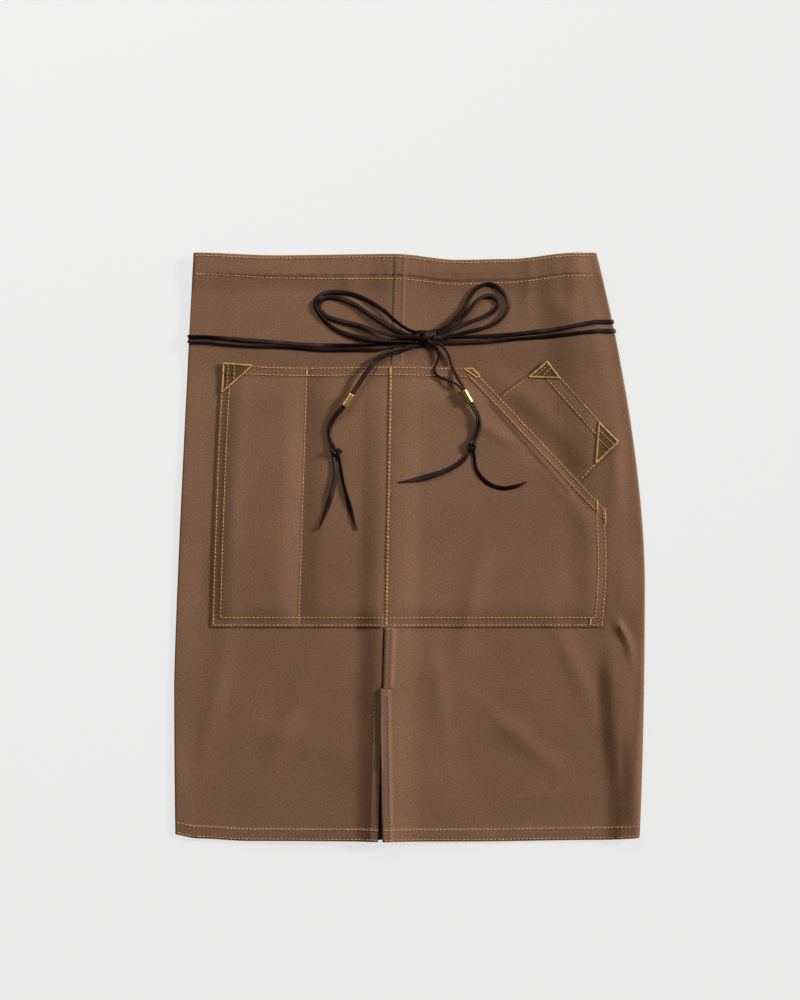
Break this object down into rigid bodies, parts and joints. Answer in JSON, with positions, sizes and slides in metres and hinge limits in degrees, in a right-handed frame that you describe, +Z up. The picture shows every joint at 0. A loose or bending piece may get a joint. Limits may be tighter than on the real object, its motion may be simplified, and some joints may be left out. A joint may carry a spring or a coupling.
{
  "type": "split waist apron",
  "caption": "Waist apron of cotton twill with a split hem, patch pockets and doubled leather ties in a bow, laid flat with its side wings folded behind.",
  "frame": {"origin": "on the surface it lies on, under the middle of the apron without its ties", "axes": "+Y towards the waist, +X to the right as one looks at the front, +Z up out of the front face"},
  "size_m": [0.4709, 0.59, 0.0136],
  "materials": {
    "twill": "matt brown cotton twill",
    "patch_cloth": "dark olive brown twill with satin stitched edges",
    "leather": "dark brown leather lace, slightly waxed",
    "brass": "polished brass"
  },
  "bodies": {
    "front": {"left_front_panel": "twill", "right_front_panel": "twill", "main_pocket": "twill", "small_pocket": "twill", "main_pocket_patch": "patch_cloth", "small_pocket_upper_patch": "patch_cloth", "small_pocket_lower_patch": "patch_cloth", "left_side_fold": "twill", "right_side_fold": "twill", "bow_knot": "leather", "left_tie_front_a": "leather", "left_tie_front_b": "leather", "left_tie_bend_a": "leather", "left_tie_bend_b": "leather", "left_bow_loop_a": "leather", "left_bow_loop_b": "leather", "left_tail_a": "leather", "left_tail_b": "leather", "left_end_knot": "leather", "left_tip_a": "leather", "left_tip_b": "leather", "right_tie_front_a": "leather", "right_tie_front_b": "leather", "right_tie_bend_a": "leather", "right_tie_bend_b": "leather", "right_bow_loop_a": "leather", "right_bow_loop_b": "leather", "right_tail_a": "leather", "right_tail_b": "leather", "right_end_knot": "leather", "right_tip_a": "leather", "right_tip_b": "leather"},
    "left_flap": {"left_leg_flap": "twill"},
    "right_flap": {"right_leg_flap": "twill"},
    "left_wing": {"left_wing": "twill", "left_inner_eyelet": "brass", "left_outer_eyelet": "brass", "left_inner_washer": "brass", "left_outer_washer": "brass", "left_tie_bridge": "leather", "left_tie_under_a": "leather", "left_tie_under_b": "leather"},
    "right_wing": {"right_wing": "twill", "right_inner_eyelet": "brass", "right_outer_eyelet": "brass", "right_inner_washer": "brass", "right_outer_washer": "brass", "right_tie_bridge": "leather", "right_tie_under_a": "leather", "right_tie_under_b": "leather"},
    "left_bead": {"left_bead": "brass"},
    "right_bead": {"right_bead": "brass"}
  },
  "joints": [
    {"name": "left_wing_fold", "type": "hinge", "parent": "front", "child": "left_wing", "pos_m": [-0.2285, 0, 0.0017], "axis": [0.0322, 0.9995, 0], "range_deg": [0, 180], "deforming": ["left_side_fold", "left_tie_bend_a", "left_tie_bend_b"]},
    {"name": "right_wing_fold", "type": "hinge", "parent": "front", "child": "right_wing", "pos_m": [0.221, 0, 0.0017], "axis": [0.0609, -0.9981, 0], "range_deg": [0, 180], "deforming": ["right_side_fold", "right_tie_bend_a", "right_tie_bend_b"]},
    {"name": "left_flap_fold", "type": "hinge", "parent": "front", "child": "left_flap", "pos_m": [-0.0275, -0.141, 0.002], "axis": [-0.7552, -0.6555, 0], "range_deg": [0, 172]},
    {"name": "right_flap_fold", "type": "hinge", "parent": "front", "child": "right_flap", "pos_m": [-0.0275, -0.141, 0.002], "axis": [-0.8289, 0.5594, 0], "range_deg": [0, 172]},
    {"name": "left_bead_slide", "type": "slide", "parent": "front", "child": "left_bead", "axis": [0.5602, 0.8283, 0], "range_m": [0, 0.022]},
    {"name": "right_bead_slide", "type": "slide", "parent": "front", "child": "right_bead", "axis": [0.4891, -0.8722, 0], "range_m": [0, 0.011]}
  ]
}
